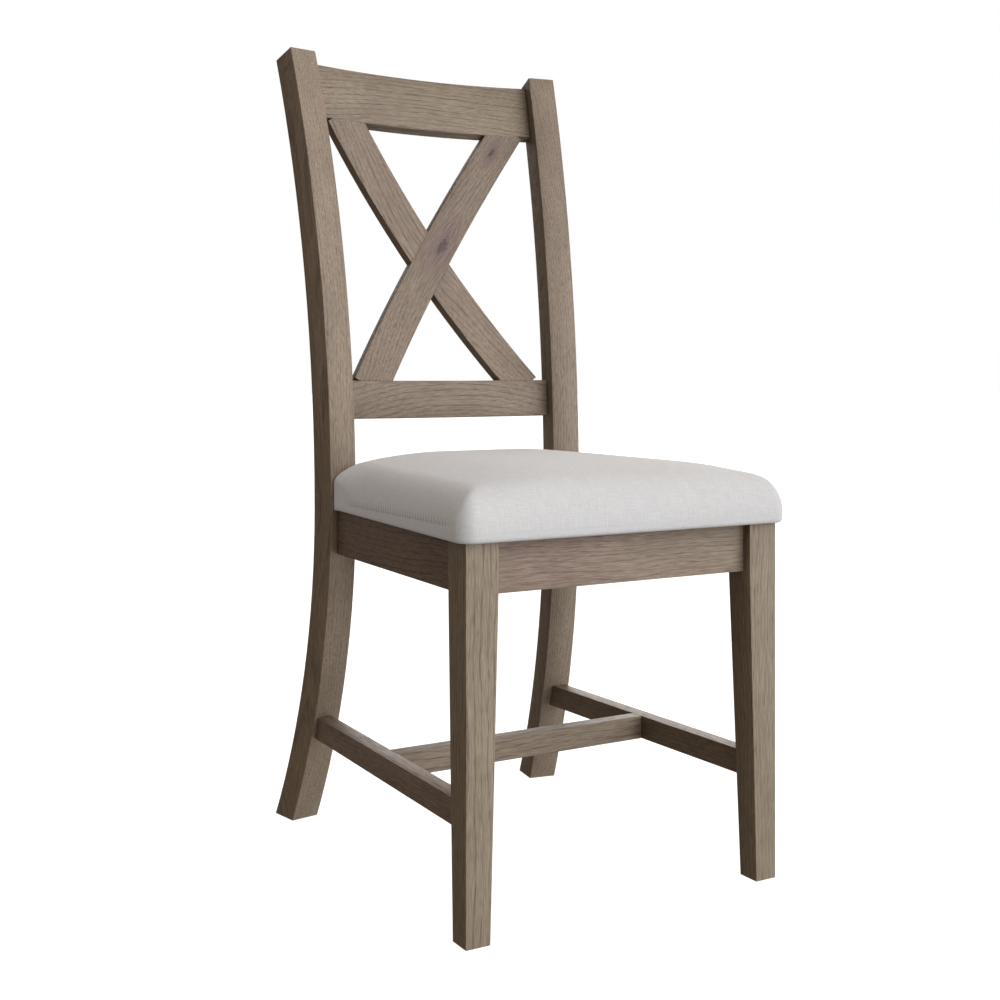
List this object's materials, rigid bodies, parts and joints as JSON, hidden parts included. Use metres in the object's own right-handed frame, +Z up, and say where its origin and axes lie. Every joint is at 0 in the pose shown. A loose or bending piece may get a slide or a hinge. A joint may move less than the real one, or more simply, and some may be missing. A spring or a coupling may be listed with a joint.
{
  "type": "dining chair",
  "caption": "Armless wooden dining chair with a bowed crossed-brace back, square tapered front legs, curved back posts, an H stretcher and a crowned fabric seat pad.",
  "frame": {"origin": "on the floor, at the centre of the bounding box seen from above", "axes": "+Z up, +Y towards the back of the chair, the sitter faces -Y, +X to the right in a front view"},
  "size_m": [0.427, 0.5336, 1.003],
  "materials": {
    "washed_oak": "satin",
    "block_wood": "matte",
    "dowel_wood": "matte",
    "plywood": "matte",
    "foam": "matte",
    "linen": "matte",
    "dust_cloth": "matte",
    "screw_steel": "satin"
  },
  "bodies": {
    "root": {"crest_rail": "washed_oak", "lower_back_rail": "washed_oak", "cross_brace_front": "washed_oak", "cross_brace_rear": "washed_oak", "front_seat_rail": "washed_oak", "rear_seat_rail": "washed_oak", "left_seat_rail": "washed_oak", "right_seat_rail": "washed_oak", "left_stretcher": "washed_oak", "right_stretcher": "washed_oak", "cross_stretcher": "washed_oak", "front_leg_left": "washed_oak", "front_leg_right": "washed_oak", "back_post_left": "washed_oak", "back_post_right": "washed_oak", "corner_block_front_left": "block_wood", "corner_block_front_right": "block_wood", "corner_block_rear_left": "block_wood", "corner_block_rear_right": "block_wood", "brace_dowels": "dowel_wood", "seat_board": "plywood", "seat_foam": "foam", "seat_cover": "linen", "dust_cover": "dust_cloth", "block_screws": "screw_steel", "seat_screws": "screw_steel"}
  },
  "joints": []
}
